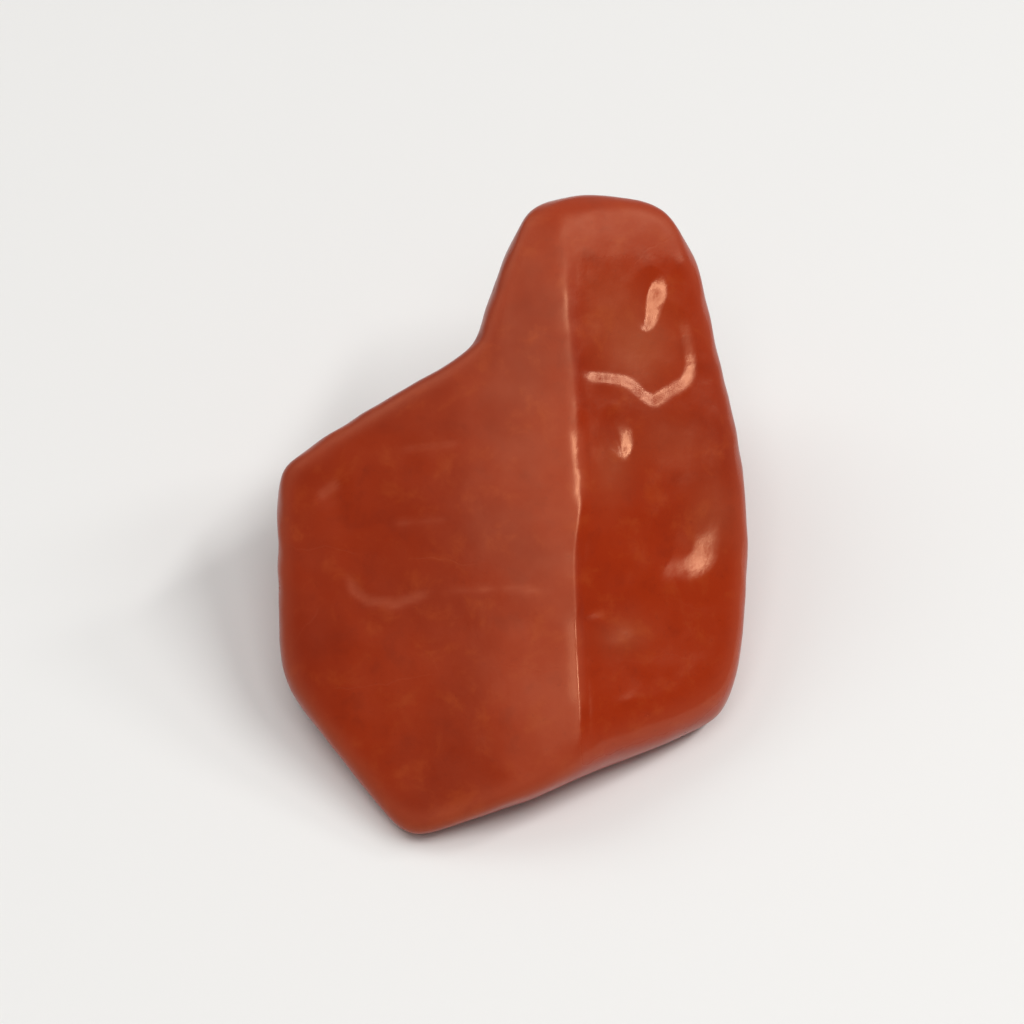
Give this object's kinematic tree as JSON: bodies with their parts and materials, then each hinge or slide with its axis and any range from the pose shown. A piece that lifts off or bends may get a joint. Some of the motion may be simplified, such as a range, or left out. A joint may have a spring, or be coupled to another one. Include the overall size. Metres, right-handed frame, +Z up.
{
  "type": "tumbled red jasper stone",
  "caption": "Small tumbled chip of brick-red jasper: a broad ridged face, a hollow shoulder beside a taller end, worn edges and a flat underside to rest on.",
  "frame": {"origin": "middle of the bounding box on the surface that the stone lies on", "axes": "+Z up, away from the resting face; the broad ridged face looks towards -Y and up; the tall end is at +Y; +X to the right of a viewer who faces the broad face"},
  "size_m": [0.015, 0.0184, 0.011],
  "materials": {
    "red_jasper": "tumbled satin to soft gloss, brick red with cloudy darker and paler patches"
  },
  "bodies": {
    "root": {"jasper_stone": "red_jasper"}
  },
  "joints": []
}
